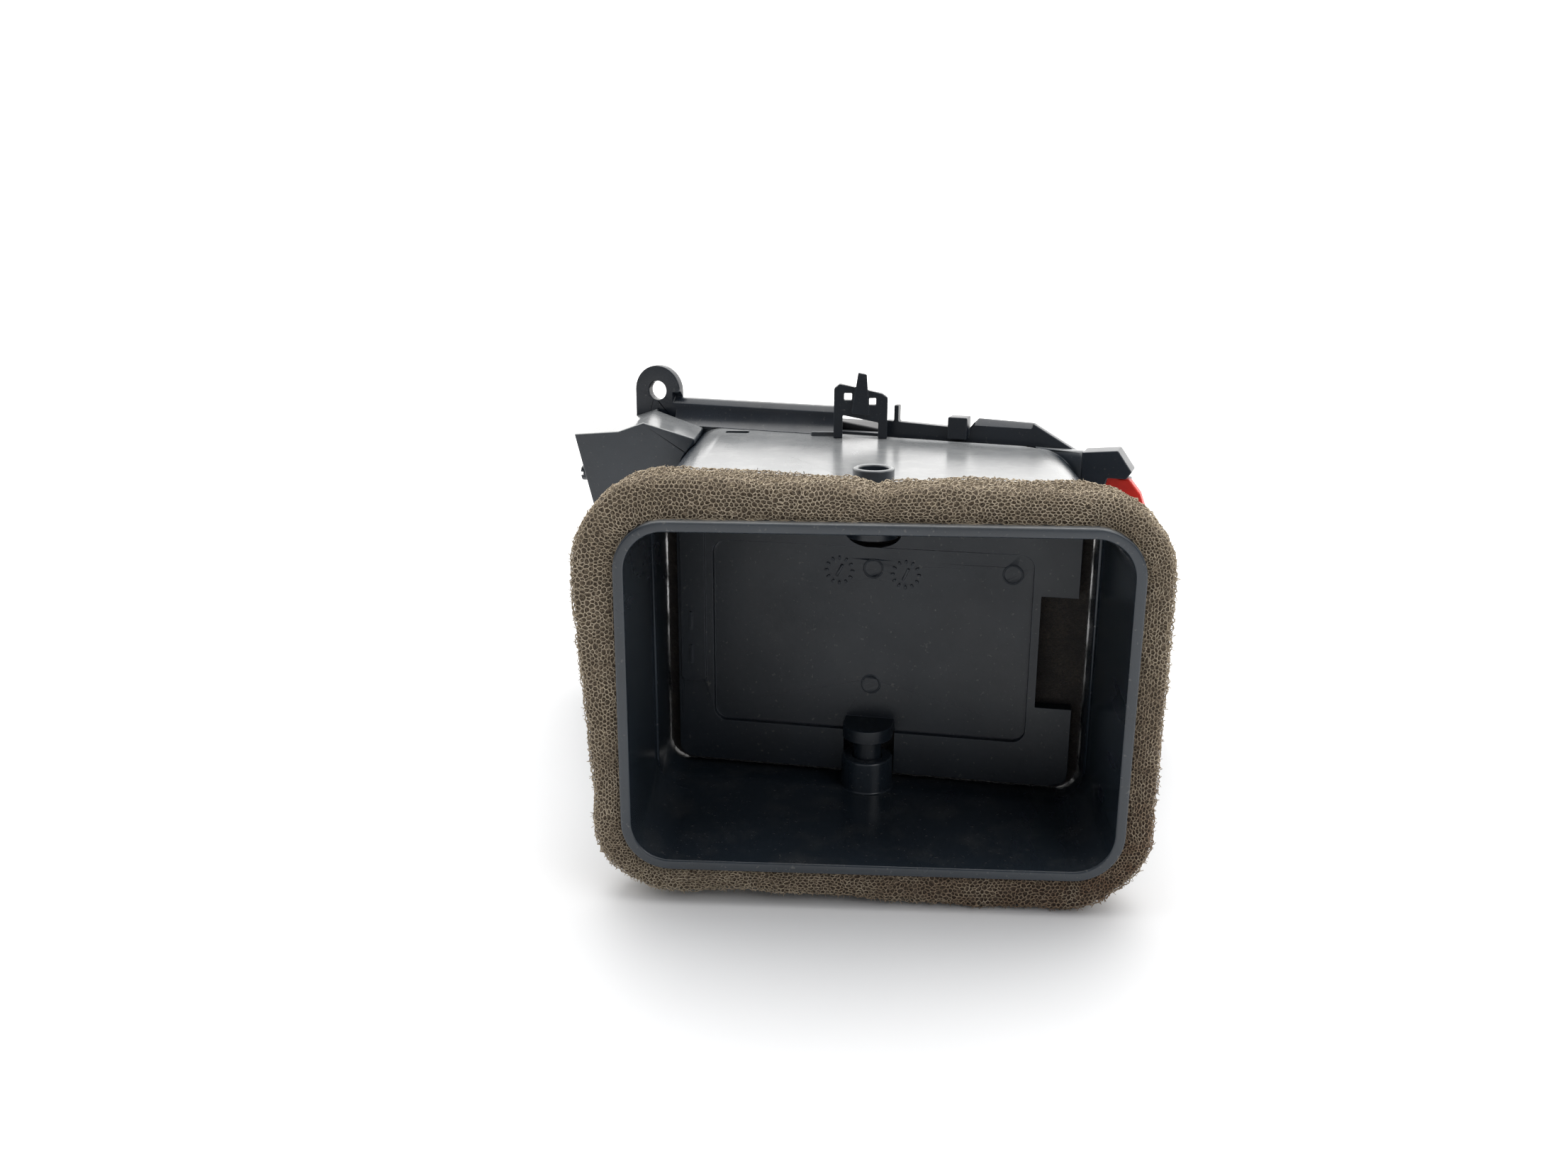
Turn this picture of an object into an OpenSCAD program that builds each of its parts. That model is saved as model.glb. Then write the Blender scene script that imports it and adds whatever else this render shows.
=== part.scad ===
// Dashboard air outlet for a car: a rectangular duct with a foam-wrapped inlet and a
// turning shut-off plate inside, and behind it an outlet turned to one side, with
// upright rear vanes, level front vanes, a sliding vane knob and a thumb wheel.
// The duct inlet faces -Y, the face that the driver sees faces +Y, and +Z is up.

/* [Duct] */
// Clear width of the duct inlet
duct_w = 96; // [90:0.5:100]
// Clear height of the duct inlet
duct_h = 68; // [66:0.5:70]
// Wall of the duct
wall = 2.2; // [1.8:0.1:2.6]
// Outer corner radius of the duct
corner_r = 10; // [9:0.5:11]
// Length of the duct on its middle line
duct_len = 102; // [100:1:108]
// Turn of the outlet face away from the duct's own direction, in degrees
yaw = 18; // [15:1:20]

/* [Foam seal] */
// Thickness of the foam strip round the inlet
foam_t = 8; // [6:0.5:9]
// Width of the foam strip, along the duct
foam_w = 12.5; // [10:0.5:16]
// How far the bare rim stands out of the foam
rim_out = 1.8; // [1:0.1:3]

/* [Shut-off plate] */
// Distance of the pivot from the inlet
pivot_y = 39; // [38:0.5:42]
// Radius of the plate's pivot pins
pivot_r = 3.2; // [2.8:0.1:3.4]
// Turn of the closed plate from square to the duct, in degrees
plate_lean = 8; // [6:1:9]
// Half width of the plate
plate_half_w = 44.8; // [43:0.1:45]
// Travel of the plate, thumb wheel and lever, in degrees
travel_deg = 60; // [50:1:60]

/* [Outlet] */
// Clear half width of the outlet
mouth_half_w = 50; // [48:0.5:50]
// Height of the outlet's lower edge above the duct floor
mouth_z0 = 4; // [3:0.5:5]
// Height of the outlet's upper edge above the duct floor
mouth_z1 = 58; // [56:0.5:58]
// Depth of the face plate's skirt and front, behind the mounting plane
bezel_depth = 26; // [25:0.5:28]
// Number of level front vanes
front_count = 4; // [4:1:4]
// Number of upright rear vanes
rear_count = 5; // [5:1:5]

/* [Thumb wheel] */
// Radius over the wheel's rubber grip
wheel_r = 18.5; // [17:0.5:19]
// Radius of the crank pins on the wheel and on the plate's lever
crank_r = 12; // [11:0.5:12]

/* [Hidden] */
$fn = 48;

run_gap = 0.05;      // radial clearance of a pin that turns in its hole
free_gap = 0.3;      // clearance between moving neighbours
eps = 0.01;          // overlap that keeps cuts clean
floor_z = wall + foam_t;                    // duct floor above the table
inlet_y = -76.03;                            // the inlet rim
out_w = duct_w + 2 * wall;
pivot_x = -0.5;
wheel_x0 = -66;                             // the wheel's two faces
wheel_x1 = -58;
wheel_y = 133.5;
wheel_z = 34;
axle_r = 1.75;
rod_x0 = -56.6;
rod_x1 = -53.8;
rod_z0 = -8.6;                              // the rod's foot, below the duct
rod_z1 = -6.2;
half_travel = travel_deg / 2;
front_y = 14;                               // pivot line of the front vanes
front_pitch = (mouth_z1 - mouth_z0) / front_count;
front_crank = 8.4;                          // front pivot to the link bar's pin
rear_y = -4;                                // pivot line of the rear vanes
rear_pitch = 17;
rear_crank = 6;
knob_reach = 10.8;                          // rear pivot to the driven pin
// Screws that hold the outlet case to the duct's foot, in x and z
screw_spots = [[-55.5, -4.5], [55.5, -4.5], [-55.5, 62], [55.5, 46]];
vane_t = 1.8;
vane_pin_r = 1.3;
bar_pin_r = 1.0;
case_t = 2;
skirt_y = 4;                                // the face plate's skirt starts here
plastic = [0.20, 0.23, 0.26];
dark_plastic = [0.13, 0.15, 0.17];

// ---- frames -------------------------------------------------------------------
// Duct frame: y from the inlet rim, z from the duct floor.
module at_duct() { translate([0, inlet_y, floor_z]) children(); }
// Outlet frame: origin on the duct's middle line at its end, turned to one side.
module at_outlet() { at_duct() translate([0, duct_len, 0]) rotate([0, 0, -yaw]) children(); }
// Places a shape drawn in the duct frame while in the outlet frame
module from_duct() { rotate([0, 0, yaw]) translate([0, -duct_len, 0]) children(); }
// Valve frame: origin on the pivot, x along the closed plate.
module at_valve() {
    at_duct() translate([pivot_x, pivot_y, 0]) rotate([0, 0, -plate_lean]) children();
}

// ---- shared shapes -------------------------------------------------------------
// A block given by its two corners
module block(a, b) { translate(a) cube(b - a); }
// A rounded rectangle from corner a to corner b
module round_rect(a, b, r) {
    translate([a[0] + r, a[1]]) square([b[0] - a[0] - 2 * r, b[1] - a[1]]);
    translate([a[0], a[1] + r]) square([b[0] - a[0], b[1] - a[1] - 2 * r]);
    for (x = [a[0] + r, b[0] - r], z = [a[1] + r, b[1] - r]) translate([x, z]) circle(r);
}
// A drawing in x and z, extruded from y0 to y1
module slab_y(y0, y1) {
    translate([0, y1, 0]) rotate([90, 0, 0]) linear_extrude(y1 - y0) children();
}
// A drawing in y and z, extruded from x0 to x1
module slab_x(x0, x1) {
    translate([x0, 0, 0]) rotate([90, 0, 90]) linear_extrude(x1 - x0) children();
}
// Round bars along each direction
module rod_along_x(r, x0, x1, y, z) {
    translate([x0, y, z]) rotate([0, 90, 0]) cylinder(r = r, h = x1 - x0);
}
module rod_along_y(r, y0, y1, x, z) {
    translate([x, y1, z]) rotate([90, 0, 0]) cylinder(r = r, h = y1 - y0);
}
module rod_along_z(r, z0, z1, x, y) { translate([x, y, z0]) cylinder(r = r, h = z1 - z0); }
// Everything in front of (beyond) the outlet plane at local depth y
module beyond_outlet(y) {
    translate([0, duct_len, 0]) rotate([0, 0, -yaw]) block([-200, y, -60], [200, y + 200, 160]);
}

// ---- duct ------------------------------------------------------------------------
module duct_outline() {
    round_rect([-out_w / 2, -wall], [out_w / 2, duct_h + wall], corner_r);
}

module duct_bore() {
    deep_r = 5;                             // tighter corners behind the entry
    step_y = 34;                            // the entry ends here, and the walls step in
    step = 0.6;
    slab_y(-1, step_y)
        round_rect([-duct_w / 2, 0], [duct_w / 2, duct_h], corner_r - wall);
    slab_y(step_y - eps, 160)
        round_rect([step - duct_w / 2, 0], [duct_w / 2 - step, duct_h], deep_r);
}

module duct_flange() {
    // Foot of the duct, against which the outlet case is screwed
    flange_t = 2.6;
    translate([0, duct_len, 0]) rotate([0, 0, -yaw]) {
        slab_y(-flange_t, 0) difference() {
            round_rect([-59, -wall - 6], [59, duct_h + wall], 3);
            // the clip's housing stands here
            translate([54.9, 58]) square(20);
        }
        for (s = screw_spots) rod_along_y(3.2, -9, -flange_t + eps, s[0], s[1]);
    }
}

module duct_housing() {
    collar_r = 4.5;
    collar_h = 3.5;
    boss_r = 5.8;
    boss_h = 7.4;
    stop_y0 = rim_out + foam_w + 0.4;
    color(plastic) at_duct() difference() {
        union() {
            difference() {
                slab_y(0, 140) duct_outline();
                beyond_outlet(0);
            }
            // low rib that keeps the foam from creeping back
            slab_y(stop_y0, stop_y0 + 1.2)
                round_rect([-out_w / 2 - 1, -wall - 1], [out_w / 2 + 1, duct_h + wall + 1], corner_r + 1);
            duct_flange();
            rod_along_z(collar_r, duct_h + wall - eps, duct_h + wall + collar_h, pivot_x, pivot_y);
            // guide for the link rod, on the left wall
            block([rod_x0 - 2.4, 84, 3.2], [-out_w / 2 + eps, 90, 5.4]);
            block([rod_x0 - 2.4, 84, 14.6], [-out_w / 2 + eps, 90, 16.8]);
            block([rod_x0 - 2.4, 84, 3.2], [rod_x0 - free_gap, 90, 16.8]);
            // wedge that the face plate's hook climbs
            block([-16.2, 100, duct_h + wall - eps], [-8.8, 101.6, duct_h + wall + 1.2]);
        }
        difference() {
            duct_bore();
            rod_along_z(boss_r, -eps, boss_h, pivot_x, pivot_y);
        }
        // pivot holes in the roof collar and the floor boss
        rod_along_z(pivot_r + run_gap, -9, boss_h + 1, pivot_x, pivot_y);
        rod_along_z(pivot_r + run_gap, 60, 80, pivot_x, pivot_y);
        // windows for the face plate's hooks
        block([-39, 104.4, duct_h - 1], [-33, 108.4, duct_h + wall + 1]);
        wheel_bay();
        // screw holes in the flange
        translate([0, duct_len, 0]) rotate([0, 0, -yaw])
            for (s = screw_spots) rod_along_y(1.25, -10, 1, s[0], s[1]);
    }
}

module wheel_bay() {
    // Room for the thumb wheel and the link rod, at the left of the duct's end
    block([-80, 98, 3], [-52.6, 150, 56]);
}

module foam_seal() {
    // Open-cell strip glued round the outside of the inlet
    color([0.55, 0.48, 0.38]) at_duct() difference() {
        slab_y(rim_out, rim_out + foam_w)
            round_rect([-out_w / 2 - foam_t, -wall - foam_t],
                       [out_w / 2 + foam_t, duct_h + wall + foam_t], corner_r + foam_t);
        slab_y(0, rim_out + foam_w + 1) duct_outline();
    }
}

// ---- outlet case -------------------------------------------------------------------
// Outline of the mounting flange, in x and z: a band above the duct on the left, a gap
// behind the spring clip, a falling edge and a raised box on the right
module flange_outline() {
    top = duct_h + wall;
    polygon([[-62, -8], [62, -8], [62, 61], [56, 68.4], [53.2, 69.4], [41.8, top + 5.6], [27.5, top + 6],
        [25.5, top + 3.4], [6, top + 4.2], [3.6, top + 4.4], [3.6, top + 0.8],
        [-10, top + 0.8], [-10, top + 6.9], [-57, top + 6.9], [-57, top], [-62, 66]]);
}

module screw_tab() {
    // Ear with the fixing hole, above the left end of the flange
    tab_x = -62.6;
    tab_z = 79;
    tab_r = 6.8;
    difference() {
        union() {
            rod_along_y(tab_r, 0, 2.6, tab_x, tab_z);
            block([tab_x - tab_r, 0, 66], [tab_x + tab_r, 2.6, tab_z]);
            block([tab_x - tab_r, 0, 58], [tab_x + 1, 2.6, 66 + eps]);
            block([tab_x + tab_r - eps, 0, 66], [tab_x + tab_r + 3, 2.6, 76]);
        }
        rod_along_y(2.6, -1, 4, tab_x, tab_z);
    }
}

module outlet_case() {
    tube_z0 = mouth_z0 - case_t;
    tube_z1 = mouth_z1 + case_t;
    half = mouth_half_w + case_t;
    top = duct_h + wall;
    bevel = 1.5;
    color(dark_plastic) at_outlet() difference() {
        union() {
            slab_y(0, 2.4) flange_outline();
            // thick upper band of the flange
            block([-57, 2.4 - eps, duct_h + wall + 3], [-10, skirt_y - 0.4, duct_h + wall + 6.9]);
            // sloped foot in front of the upper band
            slab_x(-56.9, -10.1)
                polygon([[-3.4, top], [-1.6, top + 1.1], [-0.5, top + 2.8], [eps, top + 4.4], [eps, top]]);
            screw_tab();
            block([-half, 2.4 - eps, tube_z0], [half, 20, tube_z1]);
            // doghouse for the red clip
            slab_y(-7, eps) polygon([[55.3, 58.3], [55.3, 70.7], [63.6, 71.6], [67.2, 66.6],
                [66, 64.8], [61.5, 64.8], [60, 58.3]]);
            block([58, -eps, 52], [66.4, 2.4, 64]);
            // locating fin and block on the upper edge
            block([5.6, 0, 74], [6.8, 2.4, 78.6]);
            block([20.4, -2, 71], [25.4, 2.4, 76.6]);
        }
        block([-mouth_half_w, -1, mouth_z0], [mouth_half_w, 21, mouth_z1]);
        // room for the strips that carry the front vanes' pins
        for (s = [-1, 1]) translate([s * (half - 0.6), 0, 0])
            block([-1.6, 10.4, mouth_z0 + 1], [1.6, 21, mouth_z1 - 1]);
        from_duct() wheel_bay();
        // inside of the doghouse, open below and behind
        block([57, -5.2, 50], [64.2, -1.6, 68.1]);
        for (s = screw_spots) rod_along_y(1.7, -8, 3, s[0], s[1]);
        // chamfer along the upper band's and the right box's front edge
        for (e = [[-58, -9.9, top + 6.9], [27, 41.6, top + 5.8]])
            translate([e[0], 0, e[2]]) rotate([45, 0, 0])
                block([0, -bevel, -bevel * 0.7], [e[1] - e[0], bevel, bevel * 0.7]);
    }
}

module side_strip(s) {
    // Bearing strip in the case's side wall, with one hole for each front vane
    x0 = mouth_half_w - 0.2;
    color([0.10, 0.11, 0.12]) at_outlet() mirror([s < 0 ? 1 : 0, 0, 0]) difference() {
        union() {
            block([x0 + 0.2, 10.6, mouth_z0 + 1.2], [x0 + 3.4, 19.8, mouth_z1 - 1.2]);
            block([x0 + case_t + 0.2, 9, mouth_z0 - 0.6], [x0 + 3.4, 19.8, mouth_z1 + 0.6]);
        }
        for (i = [0:front_count - 1])
            rod_along_x(vane_pin_r + run_gap, x0 - 1, x0 + 5, front_y, front_z(i));
    }
}

// ---- face plate ----------------------------------------------------------------------
module bezel_outline(inset) {
    lo = -floor_z + inset;
    polygon([[-82 + inset, lo + 3], [-79 + inset, lo], [70 - inset, lo], [73 - inset, lo + 3],
        [73 - inset, 38 - inset * 0.4], [65.5 - inset * 0.5, 48.5 - inset * 0.8],
        [56.5 - inset * 0.4, 62 - inset],
        [22 - inset * 0.1, 68.6 - inset], [-10, 73 - inset], [-68 + inset, 73 - inset],
        [-82 + inset, 62 - inset * 0.6]]);
}

module below_slope(drop) {
    // Space under the face plate's top, which falls towards the front
    translate([0, skirt_y, 73 - drop]) rotate([-7, 0, 0]) block([-120, -20, -130], [120, 60, 0]);
}

module wheel_post() {
    // Post on the face plate's floor that holds the wheel's axle
    difference() {
        block([wheel_x0 - 3.4, 129, -floor_z + 1], [wheel_x0 - 1.2, 138, wheel_z + 5]);
        rod_along_x(axle_r, wheel_x0 - 5, wheel_x0, wheel_y, wheel_z);
    }
}

module bezel() {
    face_t = 2.6;
    skirt_t = 2.2;
    y1 = bezel_depth;
    color(dark_plastic) at_duct() wheel_post();
    color(dark_plastic) at_outlet() difference() {
        intersection() {
            slab_y(skirt_y, y1) bezel_outline(0);
            below_slope(0);
        }
        intersection() {
            slab_y(skirt_y - 1, y1 - face_t) bezel_outline(skirt_t);
            below_slope(skirt_t);
        }
        // mouth, with a seat for the trim ring
        slab_y(y1 - face_t - 1, y1 + 1)
            round_rect([-mouth_half_w - 2, mouth_z0 - 2], [mouth_half_w + 2, mouth_z1 + 2], 6);
        // slot for the thumb wheel
        from_duct() wheel_slot();
    }
}

module wheel_slot() {
    // Slot in the face for the thumb wheel, along the duct's own direction
    block([wheel_x0 - 1, 140, wheel_z - 15.5], [wheel_x1 + 1, 170, wheel_z + 15.5]);
}

module trim_ring() {
    // Satin ring lining the mouth
    y1 = bezel_depth;
    gap = 0.1;
    color([0.62, 0.64, 0.66]) at_outlet() difference() {
        union() {
            slab_y(20.4, y1 + 0.8)
                round_rect([gap - mouth_half_w - 2, gap + mouth_z0 - 2],
                           [mouth_half_w + 2 - gap, mouth_z1 + 2 - gap], 5.9);
            slab_y(y1, y1 + 0.8)
                round_rect([-mouth_half_w - 3.4, mouth_z0 - 3.4], [mouth_half_w + 3.4, mouth_z1 + 3.4], 7);
        }
        slab_y(19, y1 + 2)
            round_rect([-mouth_half_w, mouth_z0], [mouth_half_w, mouth_z1], 4);
    }
}

// ---- thumb wheel ---------------------------------------------------------------------
// Outline of the wheel's cover, in x and z: the outer side leans in, and the roof has a
// ridge that falls to the duct's own roof
module cover_outline(inset) {
    t = inset;
    polygon([[-77.5 + t, 70.8 - t], [-66 + t * 0.3, 71.6 - t], [-59.4, 74 - t],
        [-46 - t * 0.1, 70 - t], [-46 - t * 0.1, 60], [-50.8, 56], [-50.8, 2 + t],
        [-70 + t, 2 + t], [-72.6 + t, 50]]);
}

module dial_cover() {
    y0 = 95;
    t = 1.8;
    color(plastic) at_duct() difference() {
        slab_y(y0, 150) cover_outline(0);
        slab_y(y0 + t, 151) cover_outline(t);
        beyond_outlet(skirt_y - 0.2);
        // the duct and its flange keep their own room
        slab_y(y0 - 1, 150) offset_duct(0.2);
        translate([0, duct_len, 0]) rotate([0, 0, -yaw]) {
            block([-62.3, -3, -20], [80, 2.7, 80]);
            block([-70, -9.6, -20], [80, 8, 67.5]);
            block([-68.8, -0.2, 56], [-50, 2.9, 90]);
        }
        // the rod passes through the back
        block([rod_x0 - 1, y0 - 1, 4.4], [-50, y0 + 4, 16]);
    }
    // slotted peg on the outer side
    color(plastic) at_duct() difference() {
        rod_along_x(2, -76.6, -73.6, y0 + 4, 60);
        block([-78, y0 + 1, 59.6], [-76, y0 + 8, 60.4]);
    }
}

module offset_duct(g) {
    round_rect([-out_w / 2 - g, -wall - g], [out_w / 2 + g, duct_h + wall + g], corner_r + g);
}

module dial_axle() {
    // Fixed pin on which the wheel turns, carried by a post inside the face plate
    color([0.70, 0.71, 0.73]) at_duct() {
        rod_along_x(axle_r, wheel_x0 - 3.8, wheel_x1 + 1, wheel_y, wheel_z);
        rod_along_x(3, wheel_x0 - 5, wheel_x0 - 3.4, wheel_y, wheel_z);
    }
}

module dial_wheel() {
    color(dark_plastic) at_duct() difference() {
        union() {
            rod_along_x(wheel_r - 1.6, wheel_x0 + 0.4, wheel_x1 - 0.4, wheel_y, wheel_z);
            rod_along_x(5, wheel_x0, wheel_x1, wheel_y, wheel_z);
            rod_along_x(1.8, wheel_x1 - 1, rod_x1 + 0.6, crank_yz()[0], crank_yz()[1]);
        }
        rod_along_x(axle_r + run_gap, wheel_x0 - 1, wheel_x1 + 1, wheel_y, wheel_z);
        // hollowed faces leave a web between rim and hub
        for (x = [wheel_x0, wheel_x1 - 3]) difference() {
            rod_along_x(wheel_r - 4, x, x + 3, wheel_y, wheel_z);
            rod_along_x(6.5, x - 1, x + 4, wheel_y, wheel_z);
            rod_along_x(3.4, x - 1, x + 4, crank_yz()[0], crank_yz()[1]);
        }
    }
}

// Crank pin of the wheel at rest, half the travel behind its lowest point
function crank_yz() = [wheel_y - crank_r * sin(half_travel), wheel_z - crank_r * cos(half_travel)];

module dial_grip() {
    // Rubber band with cross ribs
    rib_step = 10;
    color([0.07, 0.07, 0.08]) at_duct() difference() {
        union() {
            rod_along_x(wheel_r - 0.5, wheel_x0 + 0.6, wheel_x1 - 0.6, wheel_y, wheel_z);
            for (a = [0:rib_step:359]) translate([0, wheel_y, wheel_z]) rotate([a, 0, 0])
                block([wheel_x0 + 0.6, -0.7, wheel_r - 1.2], [wheel_x1 - 0.6, 0.7, wheel_r]);
        }
        rod_along_x(wheel_r - 1.6, wheel_x0, wheel_x1, wheel_y, wheel_z);
    }
}

module detent_spring() {
    // Bent leaf, held in the cover's back wall, that drags on the wheel
    front = wheel_y - wheel_r - free_gap;
    leaf = 0.6;
    color([0.75, 0.76, 0.78]) at_duct() {
        block([-64.5, 96.8, 46 - leaf], [-60.5, front - 0.2, 46]);
        block([-64.5, front - 0.2 - leaf, 24], [-60.5, front - 0.2, 46 - leaf + eps]);
        block([-64.5, front - 0.4, 33.4], [-60.5, front, 34.6]);
    }
}

module link_rod() {
    // Flat rod with a yoke at each end: an upright slot for the wheel's pin, and a
    // cross slot for the pin of the plate's lever
    py = crank_yz()[0];
    slot = 1.8 + free_gap;
    lever_y = pivot_y - crank_r * sin(half_travel);
    color([0.16, 0.17, 0.19]) at_duct() difference() {
        union() {
            block([rod_x0, 62, 5.8], [rod_x1, py + 3.2, 14.2]);
            block([rod_x0, py - 4.6, 5.8], [rod_x1, py + 3.2, wheel_z - 6]);
            block([rod_x0, 62, rod_z0], [rod_x1, 68, 14.2]);
            block([rod_x0, lever_y - 4.2, rod_z0], [rod_x1, 68, rod_z1]);
            block([rod_x0, lever_y - 4.2, rod_z0], [-6, lever_y + 4.2, rod_z1]);
        }
        slab_x(rod_x0 - 1, rod_x1 + 1) round_rect([py - slot, wheel_z - crank_r - 3],
            [py + slot, wheel_z - crank_r * cos(half_travel) + 3], slot - eps);
        translate([0, 0, rod_z0 - 1]) linear_extrude(5)
            round_rect([pivot_x - crank_r - 3, lever_y - slot],
                       [pivot_x - crank_r * cos(half_travel) + 3, lever_y + slot], slot - eps);
    }
}

// ---- shut-off plate --------------------------------------------------------------------
module valve_plate() {
    z0 = 2.2;
    z1 = duct_h - 2.2;
    knuckle_r = 5.6;
    low = [12, 14.9];                       // the two knuckles, from z to z
    high = [58.6, 62];
    half = plate_half_w;
    front = 2.6;                            // the rim's front face
    floor_y = 4;                            // the sunk panel's face
    color(plastic) at_valve() difference() {
        union() {
            slab_y(floor_y, 6.2) round_rect([-half, z0], [half, z1], 3);
            // raised rim round the sunk panel
            slab_y(front, floor_y + eps) difference() {
                round_rect([-half, z0], [half, z1], 3);
                round_rect([-36.4, 12], [35, 55.3], 3);
            }
            // pad along the left edge
            slab_y(front - 0.6, front + eps) round_rect([-half + 0.8, 21.5], [-38.2, z1 - 1], 0.8);
            for (z = [28, 36]) block([-41.8, 1.6, z - 2.2], [-41.2, 2.2, z + 2.2]);
            // knuckles that carry the pins
            for (z = [low, high]) {
                rod_along_z(knuckle_r, z[0], z[1], 0, 0);
                block([-knuckle_r, 0, z[0]], [knuckle_r, 5, z[1]]);
            }
            // date marks and ejector marks
            for (p = [[-7.6, 49.4], [7.2, 49.2]]) date_mark(p[0], p[1]);
            for (p = [[0, 50.2], [30.5, 50.5], [0, 23]]) mark_ring(p[0], p[1], 2.2);
        }
        // cut-outs round the pins
        block([-5.8, 1, z0 - 1], [5.8, 8, low[0]]);
        block([-5.8, 1, high[1]], [5.8, 8, z1 + 1]);
        // rounded window in front of the upper knuckle
        slab_y(1, 8) intersection() {
            translate([-6, 55.4]) square([12, high[0] - 55.4]);
            translate([0, high[0]]) scale([1, 0.55]) circle(6);
        }
        // notch in the right edge
        block([36.8, 1, 20.7], [half + 1, 8, 46.3]);
    }
    color(plastic) at_valve() {
        rod_along_z(pivot_r, -8, low[0] + eps, 0, 0);
        rod_along_z(pivot_r, high[1] - eps, duct_h + wall + 1.6, 0, 0);
    }
}

module mark_ring(x, z, r) {
    // Faint raised ring left by an ejector pin
    difference() {
        rod_along_y(r, 3.86, 4.1, x, z);
        rod_along_y(r - 0.3, 3, 4, x, z);
    }
}

module date_mark(x, z) {
    // Ring of twelve ticks round a pointer
    for (i = [0:11]) translate([x, 0, z]) rotate([0, 30 * i, 0]) block([2.5, 3.7, -0.2], [3.3, 4.1, 0.2]);
    translate([x, 0, z]) rotate([0, 25, 0]) block([-0.25, 3.7, -1.5], [0.25, 4.1, 1.5]);
}

module valve_felt() {
    // Soft sheet behind the plate that reaches the duct's walls
    over = 2;
    color([0.30, 0.25, 0.20]) at_valve() difference() {
        slab_y(6.2, 8) round_rect([-plate_half_w - over - 0.8, 0.8],
                                  [plate_half_w + over, duct_h - 0.8], 5.6);
        for (s = [-1, 1]) rod_along_z(5.4, s < 0 ? -1 : 60, s < 0 ? 8 : 70, 0, 2);
    }
}

module valve_lever() {
    // Crank below the duct floor, on the plate's lower pin
    z0 = -5.9;
    z1 = -2.9;
    lever_turn = -half_travel + plate_lean;
    color([0.16, 0.17, 0.19]) at_valve() rotate([0, 0, lever_turn + 2 * half_travel]) difference() {
        union() {
            rod_along_z(5.4, z0, z1, 0, 0);
            block([-crank_r, -2.8, z0], [0, 2.8, z1]);
            rod_along_z(2.8, z0, z1, -crank_r, 0);
            rod_along_z(1.8, rod_z0 - 0.4, z0 + eps, -crank_r, 0);
        }
        rod_along_z(pivot_r, z0 - 1, z1 + 1, 0, 0);
    }
}

module lever_screw() {
    // Pan-head screw that holds the lever on the pin
    color([0.70, 0.71, 0.73]) at_duct() difference() {
        rod_along_z(4.2, -9.6, -8, pivot_x, pivot_y);
        for (a = [0, 90]) translate([pivot_x, pivot_y, -9.7]) rotate([0, 0, a])
            block([-2.4, -0.4, 0], [2.4, 0.4, 0.8]);
    }
}

// ---- front vanes ------------------------------------------------------------------------
function front_z(i) = mouth_z0 + front_pitch * (i + 0.5);

// A vane's cross-section, in depth and height about its pivot: a slim rounded blade
module blade(back, ahead) {
    translate([-back, -vane_t / 2]) square([back + ahead, vane_t]);
    for (y = [-back, ahead]) translate([y, 0]) circle(vane_t / 2);
}

module front_vane(i) {
    half = mouth_half_w - 0.8;
    tab_x = half - 5;
    color([0.12, 0.13, 0.15]) at_outlet() translate([0, front_y, front_z(i)]) {
        slab_x(-half, half) blade(4.6, 5.2);
        rod_along_x(2, -half, half, 0, 0);
        rod_along_x(vane_pin_r, -mouth_half_w - 2.6, -half + eps, 0, 0);
        rod_along_x(vane_pin_r, half - eps, mouth_half_w + 2.6, 0, 0);
        // pin for the link bar
        rod_along_x(bar_pin_r, tab_x - 4.4, tab_x, -front_crank, 0);
        block([tab_x - 0.4, -front_crank - 1.2, -1.2], [tab_x + 1, -4, 1.2]);
    }
}

module front_link_bar() {
    x1 = mouth_half_w - 6.6;
    y = front_y - front_crank;
    color([0.10, 0.11, 0.12]) at_outlet() difference() {
        slab_x(x1 - 1.8, x1) round_rect([y - 2, front_z(0) - 2.4],
            [y + 2, front_z(front_count - 1) + 2.4], 1.9);
        for (i = [0:front_count - 1]) rod_along_x(bar_pin_r + run_gap, x1 - 4, x1 + 2, y, front_z(i));
    }
}

// ---- rear vanes -------------------------------------------------------------------------
function rear_x(i) = rear_pitch * (i - (rear_count - 1) / 2);

module rear_vane(i) {
    z0 = mouth_z0 + 0.6;
    z1 = mouth_z1 - 0.6;
    driven = (i == (rear_count - 1) / 2);
    bar_z = 12;
    color([0.12, 0.13, 0.15]) at_outlet() translate([rear_x(i), rear_y, 0]) {
        difference() {
            rotate([0, 0, 90]) translate([0, 0, z0]) linear_extrude(z1 - z0) blade(7.4, 3.4);
            block([-3, -10, bar_z - 2], [3, -rear_crank + 3.8, bar_z + 2]);
        }
        rod_along_z(1.7, z0, z1, 0, 0);
        rod_along_z(vane_pin_r, mouth_z0 - 2, z0 + eps, 0, 0);
        rod_along_z(vane_pin_r, z1 - eps, mouth_z1 + 2, 0, 0);
        // pin for the link bar
        rod_along_z(bar_pin_r, bar_z - 2 - eps, bar_z + 2 + eps, 0, -rear_crank);
        if (driven) driven_fork();
    }
}

module driven_fork() {
    // Upright pin held ahead of the middle vane by two arms; the knob's fork spans it
    z = front_z(1);
    arm_z = 7.6;
    for (s = [-1, 1]) block([-0.9, 2, z + s * arm_z - 0.8], [0.9, knob_reach, z + s * arm_z + 0.8]);
    rod_along_z(1.2, z - arm_z - 0.8, z + arm_z + 0.8, 0, knob_reach);
}

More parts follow.
